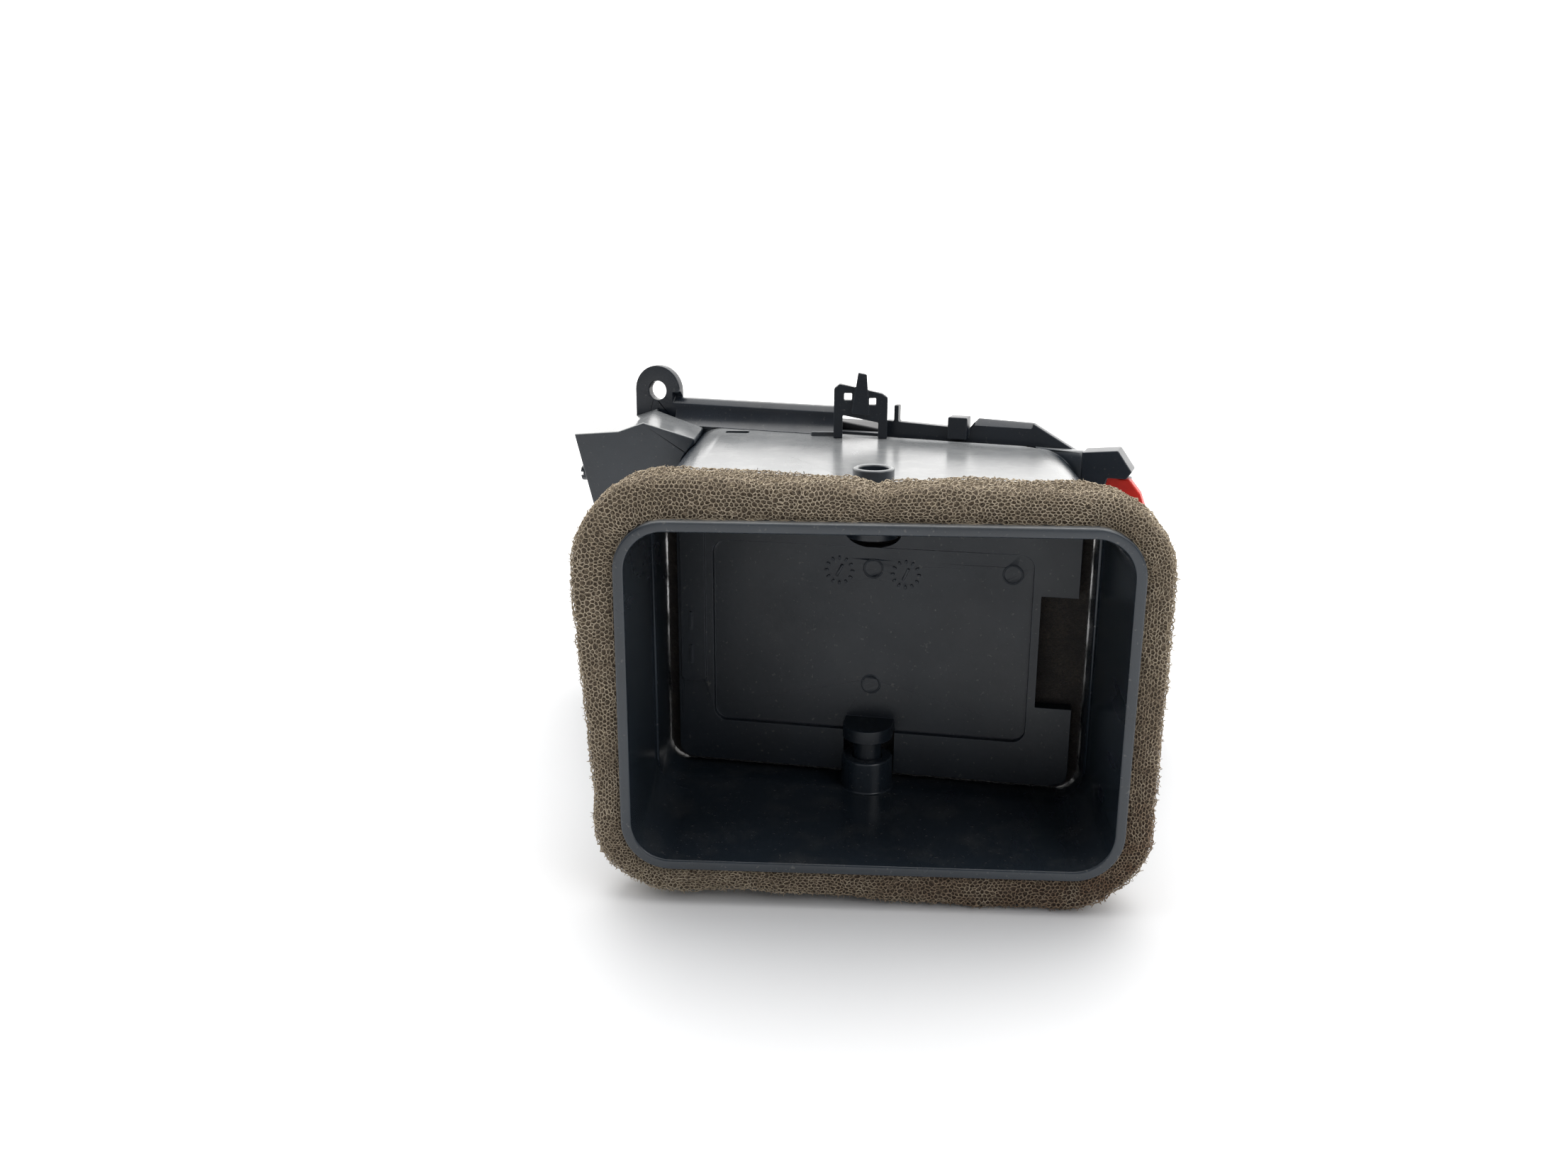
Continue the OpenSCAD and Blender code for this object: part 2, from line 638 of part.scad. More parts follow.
module rear_link_bar() {
    bar_z = 12;
    reach = rear_x(rear_count - 1);
    color([0.10, 0.11, 0.12]) at_outlet() difference() {
        translate([0, 0, bar_z - 0.9]) linear_extrude(1.8)
            round_rect([-reach - 2.4, rear_y - rear_crank - 2], [reach + 2.4, rear_y - rear_crank + 2], 1.9);
        for (i = [0:rear_count - 1])
            rod_along_z(bar_pin_r + run_gap, bar_z - 3, bar_z + 3, rear_x(i), rear_y - rear_crank);
    }
}

module rear_rail(z0, z1) {
    // Rail across the duct's end, with one hole for each rear vane
    color([0.10, 0.11, 0.12]) at_outlet() difference() {
        slab_y(-9, -0.1) round_rect([-42, z0], [42, z1], 0.4);
        for (i = [0:rear_count - 1])
            rod_along_z(vane_pin_r + run_gap, z0 - 1, z1 + 1, rear_x(i), rear_y);
    }
}

// ---- knob -----------------------------------------------------------------------------------
module vane_knob() {
    z = front_z(1);
    grip_h = 9;
    color([0.12, 0.13, 0.15]) at_outlet() difference() {
        union() {
            // sleeve round the vane, grip ahead of it, fork behind it
            block([-9, front_y - 3.2, z - 4], [9, front_y + 8, z + 4]);
            slab_y(front_y + 7, front_y + 13) round_rect([-7, z - grip_h / 2], [7, z + grip_h / 2], 2.5);
            for (s = [-1, 1]) block([s * 2.6 - 1, front_y - 10, z - 2], [s * 2.6 + 1, front_y - 3, z + 2]);
        }
        // slot that the vane passes through
        slab_x(-20, 20) translate([front_y, z]) {
            offset_blade(free_gap);
            circle(2 + free_gap);
        }
    }
}

module offset_blade(g) {
    half = vane_t / 2 + g;
    translate([-4.6, -half]) square([4.6 + 5.2, 2 * half]);
    for (y = [-4.6, 5.2]) translate([y, 0]) circle(half);
}

module knob_pad() {
    // Ribbed rubber inlay on the knob's front
    z = front_z(1);
    y0 = front_y + 13;
    color([0.07, 0.07, 0.08]) at_outlet() {
        slab_y(y0, y0 + 0.8) round_rect([-5.6, z - 3.2], [5.6, z + 3.2], 1.6);
        for (x = [-4:2:4]) block([x - 0.35, y0 + 0.8 - eps, z - 2.6], [x + 0.35, y0 + 1.3, z + 2.6]);
    }
}

// ---- clips and screws ----------------------------------------------------------------------
module snap_clip() {
    // Upright frame with a perforated head and a spring finger
    top = duct_h + wall;
    y0 = 97.4;
    y1 = 99.8;
    color(dark_plastic) at_duct() {
        slab_y(y0, y1) difference() {
            polygon([[-10.2, top], [3.6, top], [3.6, top + 10.6], [2.2, top + 11.6],
                [-8.8, top + 14], [-10.2, top + 12.8]]);
            polygon([[-7.9, top - 1], [1.3, top - 1], [1.3, top + 4.2], [-7.9, top + 6]]);
            for (x = [-6.6, -0.4]) translate([x - 1, top + 8.6 - x * 0.19]) square([2, 1.8]);
        }
        slab_y(y0 - 1, y0 + eps)
            polygon([[-5.6, top + 6.6], [-1, top + 6.2], [-1.9, top + 16.6], [-4.1, top + 17]]);
    }
}

module red_clip() {
    // Spring clip seated in the doghouse; its wings flare out and down
    color([0.90, 0.20, 0.16]) at_outlet() {
        slab_y(-5, -1.8)
            polygon([[57.2, 67], [61.5, 67.6], [63.8, 66], [63.8, 50], [61.4, 47.6], [61.4, 61],
                [59.6, 62.6], [57.2, 61.4]]);
        slab_y(-5, -1.8)
            polygon([[63.8, 64.4], [66.6, 64.4], [69.3, 61.2], [72, 54], [72, 46], [70, 44],
                [69, 54], [66.4, 59.5], [63.8, 60.4]]);
    }
}

module case_screws() {
    // Four self-tapping screws through the flange into the duct's bosses
    color([0.62, 0.63, 0.64]) at_outlet() for (s = screw_spots) translate([s[0], 0, s[1]]) {
        rod_along_y(1.2, -8, 2.5, 0, 0);
        difference() {
            rod_along_y(2.9, 2.4, 4, 0, 0);
            for (a = [0, 90]) rotate([0, a, 0]) block([-1.8, 3.2, -0.35], [1.8, 5, 0.35]);
        }
    }
}

duct_housing();
foam_seal();
outlet_case();
bezel();
trim_ring();
dial_cover();
snap_clip();
red_clip();
rear_rail(mouth_z1 + 0.2, mouth_z1 + 3);  // rear_rail_top
rear_rail(mouth_z0 - 3, mouth_z0 - 0.2);  // rear_rail_bottom
side_strip(-1);  // side_strip_left
side_strip(1);  // side_strip_right
case_screws();
detent_spring();
dial_axle();
dial_wheel();
dial_grip();
link_rod();
valve_plate();
valve_felt();
valve_lever();
lever_screw();
front_vane(0);  // front_vane_1
front_vane(1);  // front_vane_2
front_vane(2);  // front_vane_3
front_vane(3);  // front_vane_4
front_link_bar();
rear_vane(0);  // rear_vane_1
rear_vane(1);  // rear_vane_2
rear_vane(2);  // rear_vane_3
rear_vane(3);  // rear_vane_4
rear_vane(4);  // rear_vane_5
rear_link_bar();
vane_knob();
knob_pad();
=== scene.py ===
import math

import bpy
import numpy as np
from mathutils import Matrix, Vector
from mathutils.geometry import delaunay_2d_cdt


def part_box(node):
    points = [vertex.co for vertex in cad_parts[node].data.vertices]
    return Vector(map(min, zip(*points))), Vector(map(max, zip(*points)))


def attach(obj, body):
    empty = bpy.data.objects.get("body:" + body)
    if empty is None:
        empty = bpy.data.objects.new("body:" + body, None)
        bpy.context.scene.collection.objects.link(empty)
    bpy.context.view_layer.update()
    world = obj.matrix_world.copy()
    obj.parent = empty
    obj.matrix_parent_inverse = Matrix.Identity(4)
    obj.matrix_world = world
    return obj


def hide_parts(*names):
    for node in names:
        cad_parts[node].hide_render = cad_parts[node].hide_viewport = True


# Dashboard air outlet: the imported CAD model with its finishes, and the soft pieces
# (foam seal, felt) made as what they are. Lengths are metres in the row frame.

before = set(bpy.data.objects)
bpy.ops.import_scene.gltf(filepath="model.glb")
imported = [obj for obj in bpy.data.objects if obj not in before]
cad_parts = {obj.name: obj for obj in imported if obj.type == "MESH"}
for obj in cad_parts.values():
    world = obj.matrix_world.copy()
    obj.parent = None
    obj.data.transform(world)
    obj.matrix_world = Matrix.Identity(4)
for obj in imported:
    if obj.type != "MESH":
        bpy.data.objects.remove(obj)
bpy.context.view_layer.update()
MM = 0.001
WELD_GAP = 0.002 * MM                 # CAD corners closer than this are one
rng = np.random.default_rng(11)


# ---- places taken from the CAD model --------------------------------------------
foam_low, foam_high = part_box("foam_seal")
FOAM_T = 8.0 * MM                     # thickness of the CAD foam strip
CORNER_R = 10.0 * MM                  # outer corner radius of the duct
DUCT_HALF = (foam_high.x - foam_low.x) / 2 - FOAM_T
DUCT_LOW = foam_low.z + FOAM_T
DUCT_HIGH = foam_high.z - FOAM_T
DUCT_MID_X = (foam_high.x + foam_low.x) / 2


# ---- camera -----------------------------------------------------------------------
CAMERA_AT = (-0.00453, -0.30699, 0.13441)
CAMERA_YAW, CAMERA_PITCH, CAMERA_ROLL = -3.196, 16.047, -0.218     # degrees
LENS_MM, SENSOR_MM = 29.29, 36


def look(yaw, pitch, roll):
    """Rotation of a camera that looks along +Y, turned by angles in radians."""
    level = math.cos(pitch)
    forward = Vector((math.sin(yaw) * level, math.cos(yaw) * level, -math.sin(pitch)))
    right = Vector((math.cos(yaw), -math.sin(yaw), 0))
    up = right.cross(forward)
    rolled_right = right * math.cos(roll) - up * math.sin(roll)
    rolled_up = up * math.cos(roll) + right * math.sin(roll)
    return Matrix((rolled_right, rolled_up, -forward)).transposed()


def make_camera():
    camera = bpy.data.objects.new("camera", bpy.data.cameras.new("camera"))
    bpy.context.scene.collection.objects.link(camera)
    camera.location = CAMERA_AT
    turn = look(math.radians(CAMERA_YAW), math.radians(CAMERA_PITCH), math.radians(CAMERA_ROLL))
    camera.rotation_euler = turn.to_euler()
    camera.data.sensor_width = SENSOR_MM
    camera.data.lens = LENS_MM
    camera.data.clip_start = 0.01
    bpy.context.scene.camera = camera


make_camera()


# ---- materials -----------------------------------------------------------------------
class Finish:
    """A Principled material and short calls for the nodes that feed it."""

    def __init__(self, name, **sockets):
        self.material = bpy.data.materials.new(name)
        self.material.use_nodes = True
        self.tree = self.material.node_tree
        self.shader = self.tree.nodes["Principled BSDF"]
        for socket, value in sockets.items():
            self.shader.inputs[socket.replace("_", " ")].default_value = value
        self.place = self.node("ShaderNodeTexCoord").outputs["Object"]
        self.geometry = self.node("ShaderNodeNewGeometry")

    def node(self, kind, settings=None, **inputs):
        made = self.tree.nodes.new(kind)
        for key, value in (settings or {}).items():
            setattr(made, key, value)
        for key, value in inputs.items():
            self.feed(made.inputs[key.replace("_", " ")], value)
        return made

    def feed(self, socket, value):
        if isinstance(value, bpy.types.NodeSocket):
            self.tree.links.new(value, socket)
        else:
            socket.default_value = value

    def set(self, socket, value):
        self.feed(self.shader.inputs[socket], value)

    def stretch(self, by):
        return self.node("ShaderNodeMapping", Vector=self.place, Scale=by).outputs["Vector"]

    def noise(self, size, detail=3.0, rough=0.55, by=None):
        """Noise whose features are about size metres across."""
        where = self.place if by is None else self.stretch(by)
        made = self.node("ShaderNodeTexNoise", Vector=where, Scale=1 / size, Detail=detail, Roughness=rough)
        return made.outputs["Fac"]

    def cells(self, size, feature="F1", randomness=1.0):
        made = self.node("ShaderNodeTexVoronoi", {"feature": feature}, Vector=self.place, Scale=1 / size,
                         Randomness=randomness)
        return made.outputs["Distance"]

    def span(self, value, low, high, to_low=0.0, to_high=1.0):
        """Maps low..high to to_low..to_high, clamped."""
        made = self.node("ShaderNodeMapRange", {"clamp": True})
        for index, number in enumerate((value, low, high, to_low, to_high)):
            self.feed(made.inputs[index], number)
        return made.outputs[0]

    def math(self, how, a, b=0.0):
        made = self.node("ShaderNodeMath", {"operation": how})
        self.feed(made.inputs[0], a)
        self.feed(made.inputs[1], b)
        return made.outputs[0]

    def mix(self, share, a, b):
        made = self.node("ShaderNodeMix", {"data_type": "RGBA"})
        self.feed(made.inputs["Factor"], share)
        self.feed(made.inputs[6], a)
        self.feed(made.inputs[7], b)
        return made.outputs[2]

    def up(self):
        """How far the surface faces upwards, 0 to 1."""
        parts = self.node("ShaderNodeSeparateXYZ", Vector=self.geometry.outputs["Normal"])
        return self.math("MAXIMUM", parts.outputs["Z"], 0.0)

    def blend(self, size, low, high, first, second, detail=3.0):
        """Two sRGB colours mixed in patches about size metres across."""
        return self.mix(self.span(self.noise(size, detail), low, high), rgb(*first), rgb(*second))

    def axis(self, letter):
        return self.node("ShaderNodeSeparateXYZ", Vector=self.place).outputs[letter]

    def edge(self, radius):
        """1 on edges, 0 on flats: how far a rounded normal leans from the true one."""
        soft = self.node("ShaderNodeBevel", {"samples": 4}, Radius=radius).outputs["Normal"]
        lean = self.node("ShaderNodeVectorMath", {"operation": "DOT_PRODUCT"})
        self.feed(lean.inputs[0], soft)
        self.feed(lean.inputs[1], self.geometry.outputs["Normal"])
        return self.span(lean.outputs["Value"], 0.99, 0.75)

    def bump(self, *layers):
        """Bump from (height, depth in metres) layers."""
        normal = None
        for height, depth in layers:
            made = self.node("ShaderNodeBump", Strength=1.0, Distance=depth, Height=height)
            if normal is not None:
                self.feed(made.inputs["Normal"], normal)
            normal = made.outputs["Normal"]
        self.set("Normal", normal)


def rgb(red, green, blue):
    """sRGB 0..255 to a linear colour."""
    linear = []
    for part in (red / 255, green / 255, blue / 255):
        dark = part <= 0.04045
        linear.append(part / 12.92 if dark else ((part + 0.055) / 1.055) ** 2.4)
    return tuple(linear) + (1.0,)


WORN = (86, 95, 104)                  # rubbed edges of dark plastic
DUST = (170, 168, 162)
SPECK = (176, 172, 160)
ROOF_SHEEN = (186, 187, 186)           # painted sheen: a pale film on top of the duct that stands in for the grazing reflection of the overhead light


def moulded(name, colour, shade, gloss, grain, dust=0.5, ior=1.5, roof=0.0):
    """Moulded plastic: cloudy tone, fine grain, handling smears, dust on what faces up.

    gloss is the least and the greatest roughness, grain the depth of the skin's texture,
    and roof the share of the painted sheen on top of the duct: a pale film that stands in for the grazing
    reflection of the overhead light."""
    f = Finish(name, IOR=ior)
    cloud = f.noise(18 * MM, 3)
    tone = f.mix(f.span(cloud, 0.35, 0.7), rgb(*colour), rgb(*shade))
    tone = f.mix(f.math("MULTIPLY", f.edge(0.35 * MM), 0.45), tone, rgb(*WORN))
    specks = f.span(f.noise(0.9 * MM, 2, 0.5), 0.66, 0.76)
    dust_and_sheen_patches = f.span(f.noise(9 * MM, 5, 0.7), 0.48, 0.75)
    settled = f.math("MULTIPLY", f.math("MULTIPLY", f.up(), dust_and_sheen_patches), 0.16 * dust)
    tone = f.mix(settled, tone, rgb(*DUST))
    # painted sheen: a pale film in patches on top of the duct stands in for the grazing reflection of the
    # overhead light
    on_top = f.span(f.axis("Z"), DUCT_HIGH - 1.5 * MM, DUCT_HIGH - 0.3 * MM)
    sheen_share = f.span(dust_and_sheen_patches, 0.0, 1.0, roof, roof * 1.3)
    sheen = f.math("MULTIPLY", f.math("MULTIPLY", f.up(), on_top), sheen_share)
    tone = f.mix(sheen, tone, rgb(*ROOF_SHEEN))
    tone = f.mix(f.math("MULTIPLY", specks, 0.22 * dust), tone, rgb(*SPECK))
    f.set("Base Color", tone)
    smears = f.noise(26 * MM, 4, 0.65, by=(1, 0.35, 1))
    f.set("Roughness", f.span(smears, 0.3, 0.72, gloss[0], gloss[1]))
    scratch = f.span(f.noise(1.1 * MM, 2, 0.5, by=(1.0, 0.04, 1.0)), 0.70, 0.78)
    f.bump((f.noise(0.35 * MM, 2), grain), (scratch, -0.012 * MM), (cloud, 0.05 * MM))
    return f.material


def browned(f):
    """How far the foam has gone brown: most low on the right side."""
    low = f.span(f.axis("Z"), 52 * MM, 4 * MM)
    right = f.span(f.axis("X"), -38 * MM, 52 * MM)
    return f.math("MULTIPLY", low, right)


def foam_finish(name, light, deep, rust):
    """Open-cell foam: pale struts in patches, with light flecks."""
    f = Finish(name, Roughness=0.92, Sheen_Weight=0.25, Sheen_Roughness=0.6)
    f.set("Sheen Tint", rgb(205, 192, 165))
    patch = f.span(f.noise(7 * MM, 3), 0.35, 0.68)
    tone = f.mix(patch, rgb(*light), rgb(*deep))
    blotched = f.math("MULTIPLY", browned(f), f.span(f.noise(4 * MM, 3), 0.3, 0.6))
    tone = f.mix(f.math("MULTIPLY", blotched, 0.85), tone, rgb(*rust))
    fleck = f.span(f.noise(0.8 * MM, 1), 0.56, 0.74)
    tone = f.mix(f.math("MULTIPLY", fleck, 0.55), tone, rgb(205, 190, 160))
    f.set("Base Color", tone)
    f.bump((f.noise(0.3 * MM, 2), 0.05 * MM))
    return f.material


def foam_core_finish():
    """What shows between the outer struts: deeper cells, with painted shade: darker than the struts,
    darkest in the cell middles.
    """
    f = Finish("foam_core", Roughness=0.95)
    rims = f.span(f.cells(1.0 * MM, "DISTANCE_TO_EDGE"), 0.02, 0.20)
    # painted shade: the core is darker than the struts, and the cell middles are darker than their rims
    tone = f.mix(rims, rgb(146, 131, 111), rgb(92, 80, 66))
    tone = f.mix(f.math("MULTIPLY", browned(f), 0.7), tone, rgb(58, 36, 24))
    f.set("Base Color", tone)
    f.bump((rims, -0.5 * MM), (f.noise(0.5 * MM, 2), 0.1 * MM))
    return f.material


def felt_finish(name, colour, tip):
    f = Finish(name, Roughness=0.95, Sheen_Weight=0.5, Sheen_Roughness=0.5)
    tone = f.mix(f.span(f.noise(0.5 * MM, 3, 0.7), 0.35, 0.7), rgb(*colour), rgb(*tip))
    tone = f.mix(f.span(f.noise(5 * MM, 3), 0.4, 0.7), tone, rgb(*colour))
    f.set("Base Color", tone)
    strands = f.noise(0.4 * MM, 3, 0.7, by=(1.0, 0.3, 1.0))
    f.bump((strands, 0.2 * MM), (f.noise(0.15 * MM, 2), 0.08 * MM))
    return f.material


def rubber_finish():
    f = Finish("ribbed_rubber", IOR=1.45)
    f.set("Base Color", f.blend(3 * MM, 0.4, 0.7, (26, 27, 29), (38, 38, 40)))
    f.set("Roughness", f.span(f.noise(5 * MM, 3), 0.3, 0.7, 0.62, 0.82))
    f.bump((f.noise(0.2 * MM, 2), 0.03 * MM))
    return f.material


def steel_finish():
    f = Finish("zinc_steel", Metallic=1.0)
    f.set("Base Color", f.blend(2.5 * MM, 0.4, 0.7, (176, 176, 172), (140, 142, 142)))
    f.set("Roughness", f.span(f.noise(1.5 * MM, 4, 0.7), 0.3, 0.7, 0.28, 0.5))
    f.bump((f.noise(0.5 * MM, 2, 0.5, by=(1, 1, 0.1)), 0.02 * MM))
    return f.material


def red_finish():
    f = Finish("red_nylon", IOR=1.5, Subsurface_Weight=0.12, Subsurface_Scale=0.0015)
    f.set("Base Color", f.blend(6 * MM, 0.35, 0.7, (226, 52, 38), (198, 38, 30)))
    f.set("Roughness", f.span(f.noise(4 * MM, 3), 0.3, 0.7, 0.3, 0.48))
    f.bump((f.noise(0.5 * MM, 2), 0.02 * MM))
    return f.material


def trim_finish():
    f = Finish("satin_trim", Metallic=0.85, IOR=1.5, Coat_Weight=0.3, Coat_Roughness=0.25)
    f.set("Base Color", f.blend(0.25 * MM, 0.35, 0.65, (166, 168, 170), (186, 188, 190), detail=1))
    f.set("Roughness", f.span(f.noise(8 * MM, 3), 0.3, 0.7, 0.3, 0.42))
    f.bump((f.noise(0.3 * MM, 2), 0.01 * MM))
    return f.material


FINISHES = {
    "duct_plastic": moulded("duct_plastic_skin", (38, 46, 54), (31, 38, 45), (0.16, 0.30), 0.006 * MM,
                            ior=1.6, roof=0.36),
    # painted shade: the valve plate's colour is set darker than the duct's for its place deep inside the
    # duct
    "plate_plastic": moulded("plate_plastic_skin", (27, 34, 42), (22, 28, 35), (0.34, 0.48), 0.010 * MM),
    "case_plastic": moulded("case_plastic_skin", (34, 40, 48), (27, 32, 39), (0.24, 0.40), 0.012 * MM),
    "bezel_plastic": moulded("bezel_plastic_skin", (38, 39, 42), (32, 33, 36), (0.46, 0.60), 0.035 * MM,
                             dust=0.3),
    "rubber": rubber_finish(),
    "steel": steel_finish(),
    "red_plastic": red_finish(),
    "satin_trim": trim_finish(),
    "foam": foam_finish("foam_struts", (184, 170, 149), (156, 141, 121), (118, 82, 56)),
    "felt": felt_finish("felt_brown", (31, 28, 26), (60, 52, 44)),
}

FRONT_VANES = ["front_vane_%d" % (i + 1) for i in range(4)]
REAR_VANES = ["rear_vane_%d" % (i + 1) for i in range(5)]

# What each CAD node is made of
MADE_OF = {
    "duct_plastic": ["duct_housing", "dial_cover"],
    "plate_plastic": ["valve_plate"],
    "case_plastic": ["outlet_case", "snap_clip", "rear_rail_top", "rear_rail_bottom", "side_strip_left",
                     "side_strip_right", "link_rod", "valve_lever", "front_link_bar", "rear_link_bar",
                     *REAR_VANES],
    "bezel_plastic": ["bezel", *FRONT_VANES, "vane_knob", "dial_wheel"],
    "rubber": ["dial_grip"],
    "steel": ["case_screws", "lever_screw", "detent_spring", "dial_axle"],
    "red_plastic": ["red_clip"],
    "satin_trim": ["trim_ring", "knob_pad"],
    "foam": ["foam_seal"],
    "felt": ["valve_felt"],
}

# Width of each moulding's rounded edges, in millimetres. The nodes not named here have the fine one.
EDGE_WIDTHS = {
    "duct_housing": 0.45, "outlet_case": 0.3, "bezel": 0.5, "dial_cover": 0.4, "snap_clip": 0.25,
    "red_clip": 0.4, "trim_ring": 0.25, "vane_knob": 0.3, "link_rod": 0.3,
}
FINE_EDGE = 0.12
SHARPEST_KEPT = 38                    # degrees; a shallower crease isn't an edge


def dress(name, finish, edge):
    """Gives a CAD node its finish and the small radius of a moulded edge."""
    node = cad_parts[name]
    for held in node.material_slots:
        held.material = finish
    node.data.polygons.foreach_set("use_smooth", [True] * len(node.data.polygons))
    weld = node.modifiers.new("weld", "WELD")
    weld.merge_threshold = WELD_GAP
    bevel = node.modifiers.new("edges", "BEVEL")
    bevel.width = edge * MM
    bevel.segments = 2
    bevel.limit_method = "ANGLE"
    bevel.angle_limit = math.radians(SHARPEST_KEPT)
    bevel.use_clamp_overlap = False
    bevel.miter_outer = "MITER_ARC"
    shade = node.modifiers.new("shade", "WEIGHTED_NORMAL")
    shade.keep_sharp = False
    shade.weight = 60


for slot_name, nodes in MADE_OF.items():
    for node_name in nodes:
        dress(node_name, FINISHES[slot_name], EDGE_WIDTHS.get(node_name, FINE_EDGE))


# ---- small helpers for pieces ----------------------------------------------------------
def add_piece(name, vertices, faces, finishes, body, parts=None):
    """A mesh piece that rides on a CAD body; parts says which finish each face has."""
    mesh = bpy.data.meshes.new(name)
    mesh.from_pydata(vertices, [], faces)
    for finish in finishes:
        mesh.materials.append(finish)
    if parts is not None:
        mesh.polygons.foreach_set("material_index", parts)
    mesh.polygons.foreach_set("use_smooth", [True] * len(mesh.polygons))
    mesh.update()
    piece = bpy.data.objects.new(name, mesh)
    bpy.context.scene.collection.objects.link(piece)
    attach(piece, body)
    return piece


def waves(points, size, seed, count=7):
    """Smooth noise from -1 to 1: a few sine waves in random directions."""
    draw = np.random.default_rng(seed)
    total = np.zeros(len(points))
    for _ in range(count):
        way = draw.normal(size=3)
        way *= draw.uniform(0.6, 1.5) * 2 * math.pi / (size * np.linalg.norm(way))
        total += np.sin(points @ way + draw.uniform(0, 2 * math.pi))
    return total / count * 1.6


# ---- foam seal -----------------------------------------------------------------------------
MID_OFFSET = 6.0 * MM                           # where the strip's length is measured
ARC = math.pi / 2 * (CORNER_R + MID_OFFSET)     # one corner
HALF_H = (DUCT_HIGH - DUCT_LOW) / 2
MID_Z = (DUCT_HIGH + DUCT_LOW) / 2
RUN_X = DUCT_HALF - CORNER_R                    # half of each straight run
RUN_Z = HALF_H - CORNER_R
AROUND = 4 * (RUN_X + RUN_Z + ARC)
FOAM_W = foam_high.y - foam_low.y
CORNERS = (RUN_X, RUN_X + ARC + 2 * RUN_Z, 3 * RUN_X + 2 * ARC + 2 * RUN_Z,
           3 * RUN_X + 3 * ARC + 4 * RUN_Z)     # where each corner starts, from bottom right


def outline(u):
    """Point on the duct's outline and the way out of it, at u along the strip."""
    u = np.mod(u, AROUND)
    x, z, angle = np.zeros_like(u), np.zeros_like(u), np.zeros_like(u)
    spots = ((RUN_X, -RUN_Z, -90), (RUN_X, RUN_Z, 0), (-RUN_X, RUN_Z, 90), (-RUN_X, -RUN_Z, 180))
    ends = CORNERS + (AROUND + CORNERS[0],)
    for index, (start, (sx, sz, turn)) in enumerate(zip(CORNERS, spots)):
        along = np.mod(u - start, AROUND)
        inside = along < ends[index + 1] - start
        share = np.clip(along / ARC, 0, 1)
        way = np.radians(turn + 90 * share)
        rest = np.maximum(along - ARC, 0)
        end = math.radians(turn + 90)
        here_x = sx + CORNER_R * np.cos(way) - rest * math.sin(end)
        here_z = sz + CORNER_R * np.sin(way) + rest * math.cos(end)
        x = np.where(inside, here_x, x)
        z = np.where(inside, here_z, z)
        angle = np.where(inside, way, angle)
    return DUCT_MID_X + x, MID_Z + z, np.cos(angle), np.sin(angle)


def on_bottom(x):
    """Place along the strip, below the duct, at x millimetres from its middle."""
    return x * MM


def on_right(z):
    return CORNERS[0] + ARC + RUN_Z + z * MM


def on_top(x):
    return CORNERS[1] + ARC + RUN_X - x * MM


def on_left(z):
    return CORNERS[2] + ARC + RUN_Z - z * MM


def thickness_table():
    """Places along the strip and its thickness there: slack on top, squeezed at the sides."""
    corner = [start + ARC / 2 for start in CORNERS]
    stations = [
        (on_bottom(0), 6.4), (on_bottom(24), 7.4), (on_bottom(38), 7.4), (corner[0], 5.6),
        (on_right(-18), 5.3), (on_right(0), 5.4), (on_right(22), 5.8), (corner[1], 5.0),
        (on_top(38), 5.8), (on_top(18), 6.3), (on_top(6), 5.9), (on_top(-8), 6.2), (on_top(-30), 7.2),
        (corner[2], 8.0), (on_left(22), 8.5), (on_left(2), 7.2), (on_left(-18), 5.2), (corner[3], 6.0),
        (AROUND - 30 * MM, 5.2), (AROUND - 14 * MM, 5.4)]
    grid = np.arange(0, AROUND, 0.5 * MM)
    places, sizes = (np.array(part) for part in zip(*stations))
    rough = np.interp(grid, places, sizes, period=AROUND)
    half, width = 24, 9.0                       # reach and width of the smoothing, in grid steps
    reach = np.arange(-half, half + 1)
    kernel = np.exp(-0.5 * (reach / width) ** 2)
    kernel /= kernel.sum()
    smooth = np.convolve(np.concatenate([rough[-half:], rough, rough[:half]]), kernel, "valid")
    # the strip's two ends meet at the middle of the top: a shallow hollow and a narrow seam
    from_joint = (grid - on_top(0)) / MM
    hollow = 0.8 * np.exp(-0.5 * (from_joint / 3.2) ** 2)
    seam = 0.7 * np.exp(-0.5 * (from_joint / 0.6) ** 2)
    return grid, (smooth - hollow - seam) * MM


THICK_AT, THICK = thickness_table()


def section():
    """The strip's cross-section: offset from the duct, depth, and length along it."""
    front_r, back_r = 2.2 * MM, 2.6 * MM
    turn = np.linspace(0, math.pi / 2, 9)
    front_o = FOAM_T - front_r + front_r * np.sin(turn)
    front_y = front_r - front_r * np.cos(turn)
    back_o = FOAM_T - back_r + back_r * np.cos(turn)
    back_y = FOAM_W - back_r + back_r * np.sin(turn)
    o = np.concatenate([[0.0], front_o, back_o, [0.0]])
    y = np.concatenate([[0.0], front_y, back_y, [FOAM_W]])
    return o, y, np.concatenate([[0], np.cumsum(np.hypot(np.diff(o), np.diff(y)))])


SECTION_O, SECTION_Y, SECTION_V = section()
GIRTH = SECTION_V[-1]
FRONT_EDGE_V = FOAM_T - 1.0 * MM                 # middle of the outer front edge
BACK_FACE_V = GIRTH - FOAM_T                     # the back face starts here


